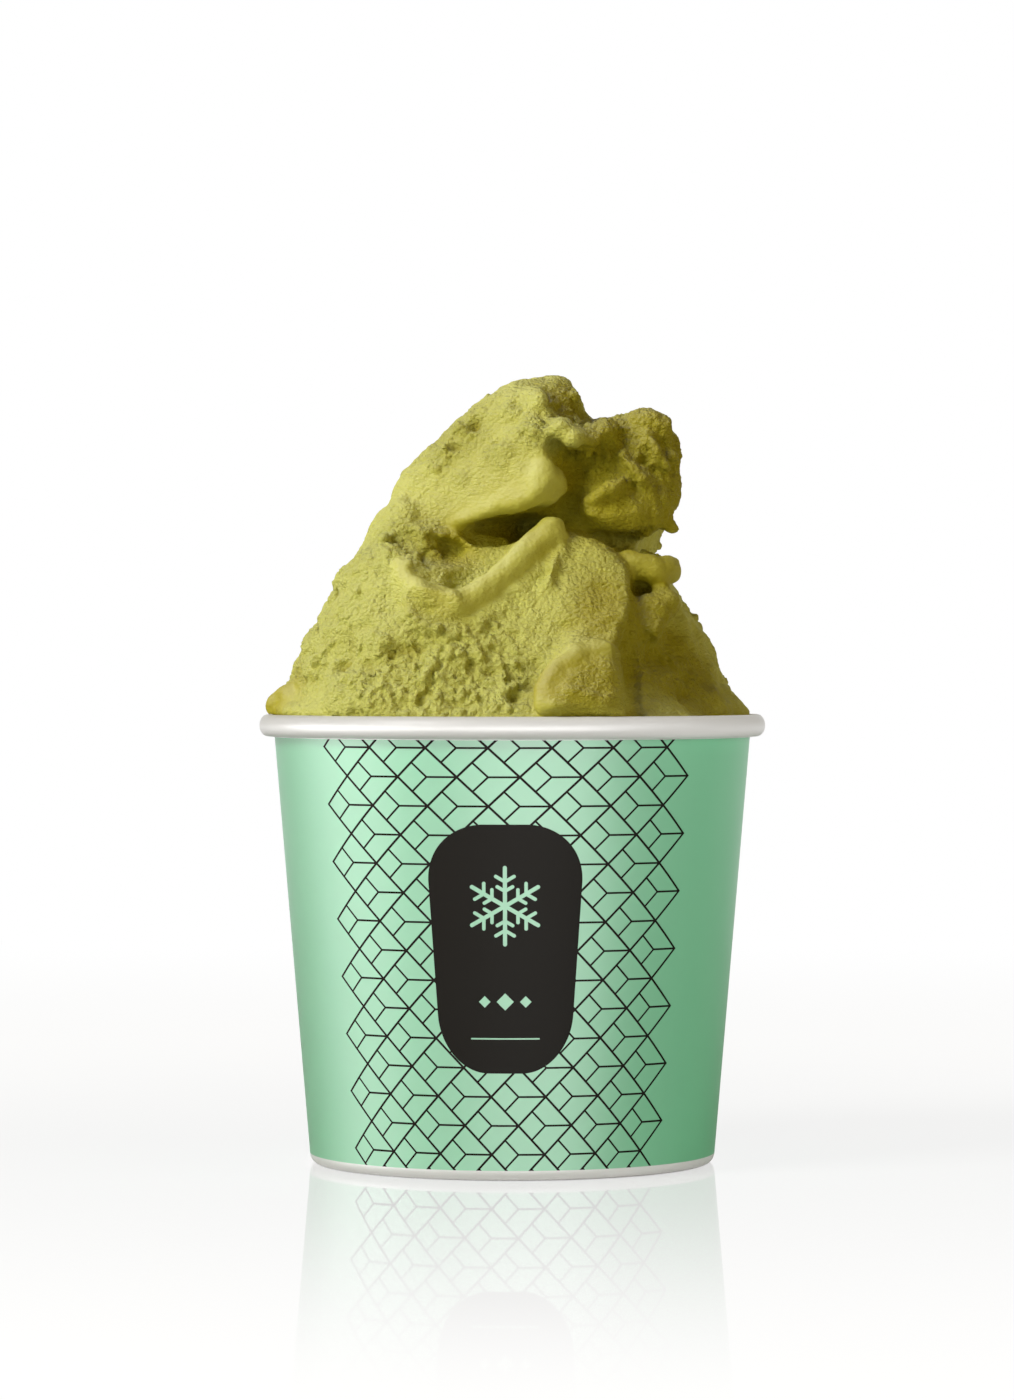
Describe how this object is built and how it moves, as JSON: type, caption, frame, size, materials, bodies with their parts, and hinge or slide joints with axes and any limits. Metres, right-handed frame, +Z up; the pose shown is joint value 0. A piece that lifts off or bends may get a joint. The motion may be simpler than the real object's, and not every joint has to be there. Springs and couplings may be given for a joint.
{
  "type": "gelato cup",
  "caption": "Round paper cup with a rolled rim and a recessed base, filled with gelato that is heaped above the rim by a spatula.",
  "frame": {"origin": "centre of the ring that the cup stands on, in the plane of the surface under it", "axes": "+Z up through the cup; -Y towards the viewer of the picture, where the smiling fold and the label are; +X to the viewer's right, where the second lump stands"},
  "size_m": [0.095, 0.095, 0.1472],
  "materials": {
    "printed_board": "coated paperboard, printed mint green with dark line work, satin",
    "plain_board": "coated white paperboard, unprinted, satin",
    "pistachio_gelato": "frozen cream, rough and crumbly where torn, smooth and damp on its folds"
  },
  "bodies": {
    "root": {"cup_wall": "printed_board", "cup_base": "plain_board", "gelato": "pistachio_gelato"}
  },
  "joints": []
}
